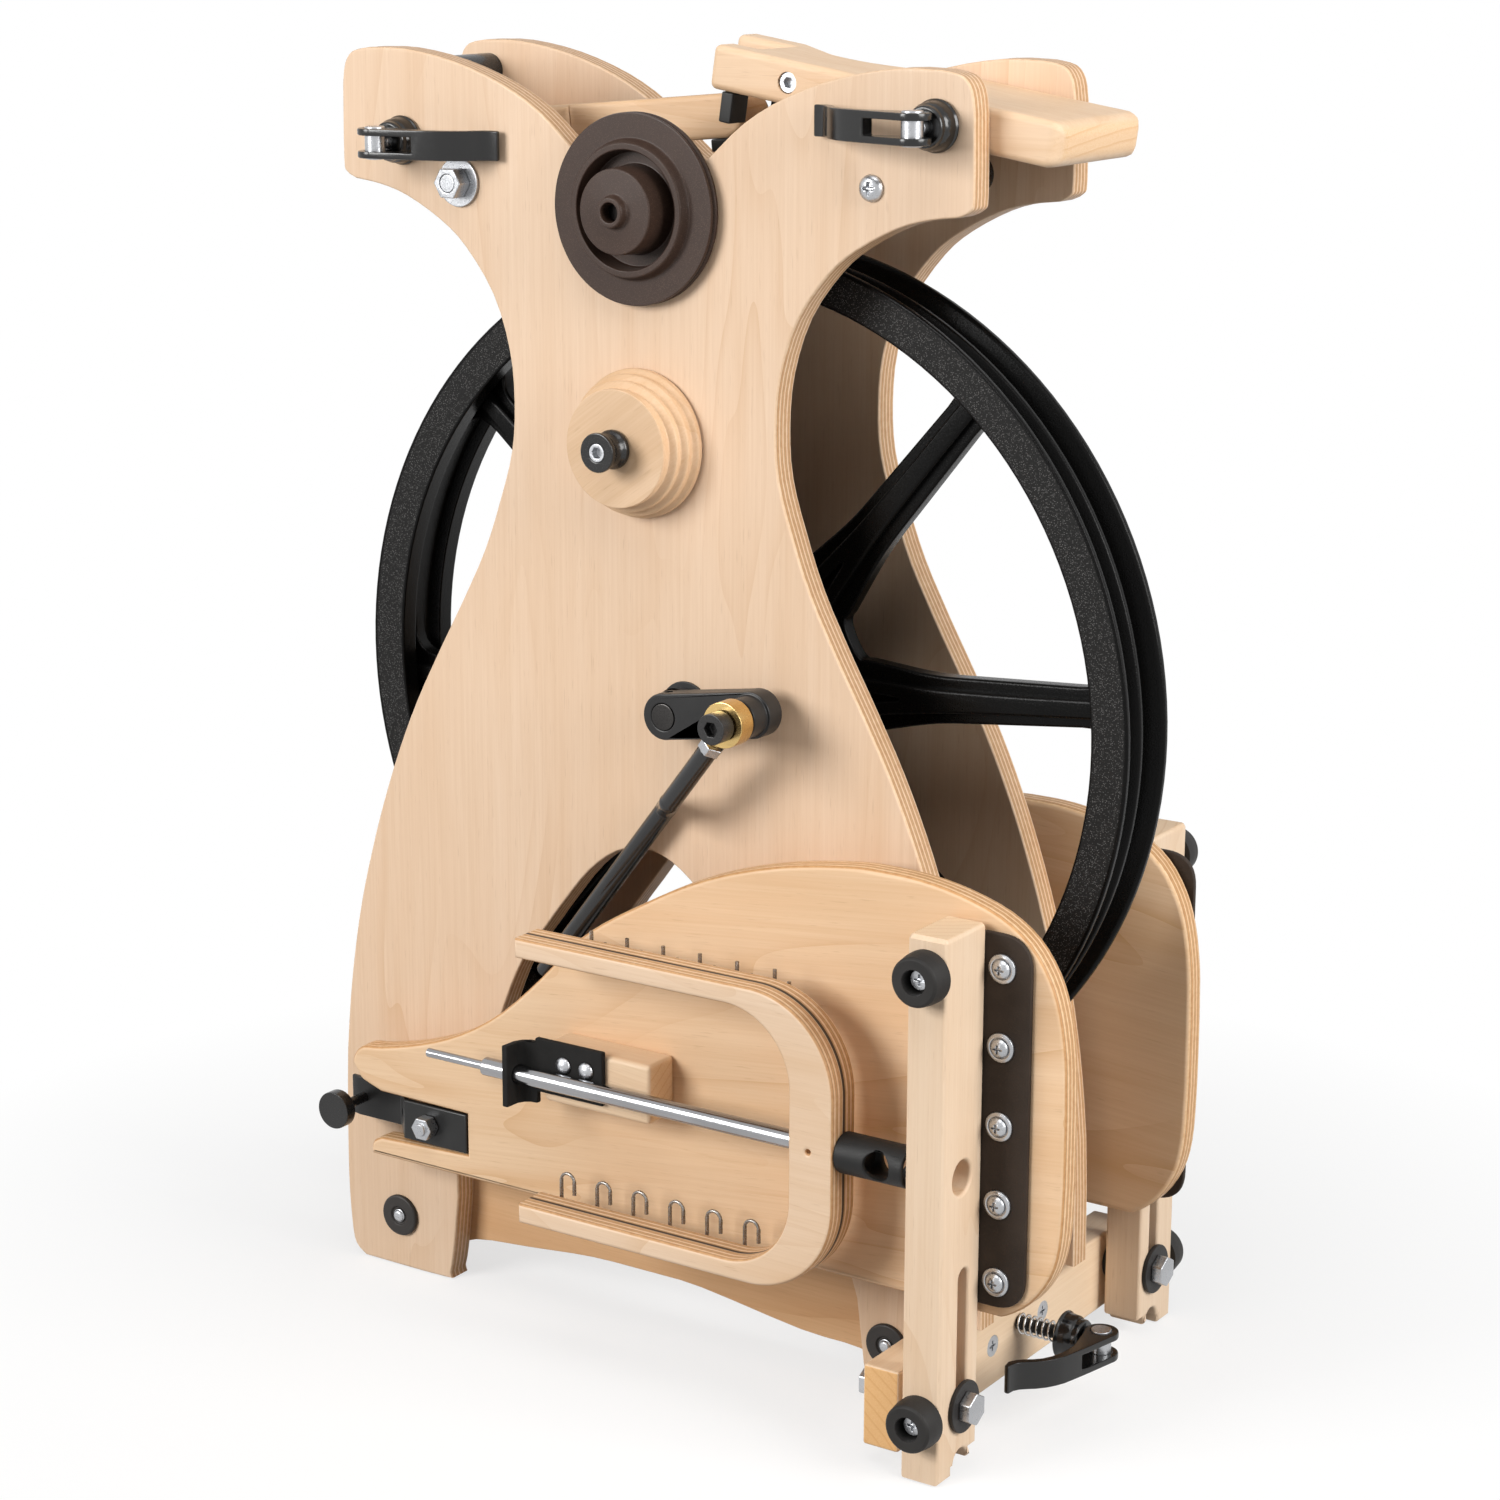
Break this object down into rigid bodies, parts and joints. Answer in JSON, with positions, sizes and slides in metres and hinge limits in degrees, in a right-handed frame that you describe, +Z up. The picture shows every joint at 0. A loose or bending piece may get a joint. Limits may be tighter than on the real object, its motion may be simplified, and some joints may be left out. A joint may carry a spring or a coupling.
{
  "type": "folding spinning wheel",
  "caption": "Folding plywood spinning wheel with spoked drive wheel, cranks, hinged treadles on swing-out bars, stowed flyer and clamped folding top arms.",
  "frame": {"origin": "middle of the folded object's outline on the floor", "axes": "+X towards the treadle bars, +Y away from the front treadle, +Z up"},
  "size_m": [0.408, 0.2372, 0.5907],
  "materials": {
    "birch_plywood": "oiled satin",
    "maple": "oiled satin",
    "black_plastic": "semi-gloss",
    "bright_steel": "zinc plated",
    "black_metal": "satin black",
    "brass": "bright",
    "black_rubber": "matt",
    "black_leather": "matt",
    "wheel_moulding": "speckled matt",
    "brown_wood": "dark stained satin"
  },
  "bodies": {
    "frame": {"front_panel": "birch_plywood", "back_panel": "birch_plywood", "stretchers": "maple", "base_rail": "maple", "rail_screws": "bright_steel", "leg_washers": "black_plastic", "leg_bolts": "bright_steel", "stop_tubes": "black_plastic", "stop_fasteners": "bright_steel", "axle_bushes": "black_plastic", "clamp_rods": "bright_steel", "clamp_cups": "black_metal", "base_spring": "bright_steel", "whorl_posts": "bright_steel", "thumb_knob": "black_plastic"},
    "wheel": {"drive_wheel": "wheel_moulding", "axle": "bright_steel", "cranks": "black_metal", "crank_screws": "black_metal"},
    "front_footman_rod": {"front_rod_end": "brass", "front_footman": "black_plastic"},
    "back_footman_rod": {"back_rod_end": "brass", "back_footman": "black_plastic"},
    "long_arm": {"arm_a": "maple", "arm_a_screw": "bright_steel", "orifice_bearing": "black_plastic"},
    "short_arm": {"arm_b": "maple", "rear_bearing": "black_plastic"},
    "left_clamp": {"left_lever": "black_metal"},
    "right_clamp": {"right_lever": "black_metal"},
    "base_clamp": {"base_lever": "black_metal"},
    "whorl": {"brown_whorl": "brown_wood"},
    "ratio_whorl": {"stepped_whorl": "maple"},
    "front_pivot": {"front_pivot_bolt": "bright_steel", "front_pivot_washers": "black_plastic"},
    "front_bar_unit": {"front_bar": "maple", "front_feet": "black_rubber", "front_foot_screws": "bright_steel"},
    "front_treadle_unit": {"front_treadle": "birch_plywood", "front_strap": "black_leather", "front_treadle_screws": "bright_steel", "front_connector": "black_metal", "front_connector_fixings": "black_plastic", "holder_block": "maple", "holder_leather": "black_leather"},
    "flyer": {"flyer_yoke": "birch_plywood", "flyer_hooks": "bright_steel", "flyer_shaft": "bright_steel", "flyer_orifice": "black_metal"},
    "back_pivot": {"back_pivot_bolt": "bright_steel", "back_pivot_washers": "black_plastic"},
    "back_bar_unit": {"back_bar": "maple", "back_feet": "black_rubber", "back_foot_screws": "bright_steel"},
    "back_treadle_unit": {"back_treadle": "birch_plywood", "back_strap": "black_leather", "back_treadle_screws": "bright_steel", "back_connector": "black_metal", "back_connector_fixings": "black_plastic"}
  },
  "joints": [
    {"name": "wheel_spin", "type": "hinge", "parent": "frame", "child": "wheel", "pos_m": [-0.0023, 0, 0.3025], "axis": [0, 1, 0], "continuous": true},
    {"name": "front_footman_swing", "type": "hinge", "parent": "wheel", "child": "front_footman_rod", "pos_m": [0.04317, -0.0835, 0.30946], "axis": [0, 1, 0], "continuous": true},
    {"name": "back_footman_swing", "type": "hinge", "parent": "wheel", "child": "back_footman_rod", "pos_m": [-0.04777, 0.0835, 0.29554], "axis": [0, 1, 0], "continuous": true},
    {"name": "long_arm_swing", "type": "hinge", "parent": "frame", "child": "long_arm", "pos_m": [0.1205, 0, 0.5605], "axis": [0, 1, 0], "range_deg": [0, 80]},
    {"name": "short_arm_swing", "type": "hinge", "parent": "frame", "child": "short_arm", "pos_m": [-0.155, 0, 0.5425], "axis": [0, -1, 0], "range_deg": [0, 80]},
    {"name": "left_clamp_lever", "type": "hinge", "parent": "frame", "child": "left_clamp", "pos_m": [-0.155, -0.0681, 0.5425], "axis": [0, 0, -1], "range_deg": [0, 110]},
    {"name": "right_clamp_lever", "type": "hinge", "parent": "frame", "child": "right_clamp", "pos_m": [0.1205, -0.0681, 0.5605], "axis": [0, 0, 1], "range_deg": [0, 110]},
    {"name": "base_clamp_lever", "type": "hinge", "parent": "frame", "child": "base_clamp", "pos_m": [0.1856, 0, 0.03], "axis": [0, 0, 1], "range_deg": [0, 110]},
    {"name": "whorl_turn", "type": "hinge", "parent": "frame", "child": "whorl", "pos_m": [-0.026, -0.06, 0.5193], "axis": [0, 1, 0], "continuous": true},
    {"name": "ratio_whorl_turn", "type": "hinge", "parent": "frame", "child": "ratio_whorl", "pos_m": [-0.026, -0.058, 0.4183], "axis": [0, 1, 0], "continuous": true},
    {"name": "front_fold", "type": "hinge", "parent": "frame", "child": "front_pivot", "pos_m": [0.156, -0.0885, 0.03], "axis": [1, 0, 0], "range_deg": [0, 90]},
    {"name": "front_bar_slide", "type": "slide", "parent": "front_pivot", "child": "front_bar_unit", "axis": [0, 0, -1], "range_m": [0, 0.051]},
    {"name": "front_treadle_rock", "type": "hinge", "parent": "front_bar_unit", "child": "front_treadle_unit", "pos_m": [0.166, -0.0755, 0.15], "axis": [0, 0, -1], "range_deg": [0, 8]},
    {"name": "flyer_draw", "type": "slide", "parent": "front_treadle_unit", "child": "flyer", "axis": [-1, 0, 0], "range_m": [0, 0.03]},
    {"name": "back_fold", "type": "hinge", "parent": "frame", "child": "back_pivot", "pos_m": [0.156, 0.0885, 0.03], "axis": [-1, 0, 0], "range_deg": [0, 90]},
    {"name": "back_bar_slide", "type": "slide", "parent": "back_pivot", "child": "back_bar_unit", "axis": [0, 0, -1], "range_m": [0, 0.051]},
    {"name": "back_treadle_rock", "type": "hinge", "parent": "back_bar_unit", "child": "back_treadle_unit", "pos_m": [0.166, 0.0755, 0.15], "axis": [0, 0, 1], "range_deg": [0, 8]}
  ],
  "couplings": [
    {"joint": "front_footman_swing", "follows": "wheel_spin", "ratio": -1},
    {"joint": "back_footman_swing", "follows": "wheel_spin", "ratio": -1},
    {"joint": "front_bar_slide", "follows": "front_fold", "m_per_rad": 0.0324},
    {"joint": "front_treadle_rock", "follows": "front_fold", "ratio": 0.0888},
    {"joint": "back_bar_slide", "follows": "back_fold", "m_per_rad": 0.0324},
    {"joint": "back_treadle_rock", "follows": "back_fold", "ratio": 0.0888}
  ]
}
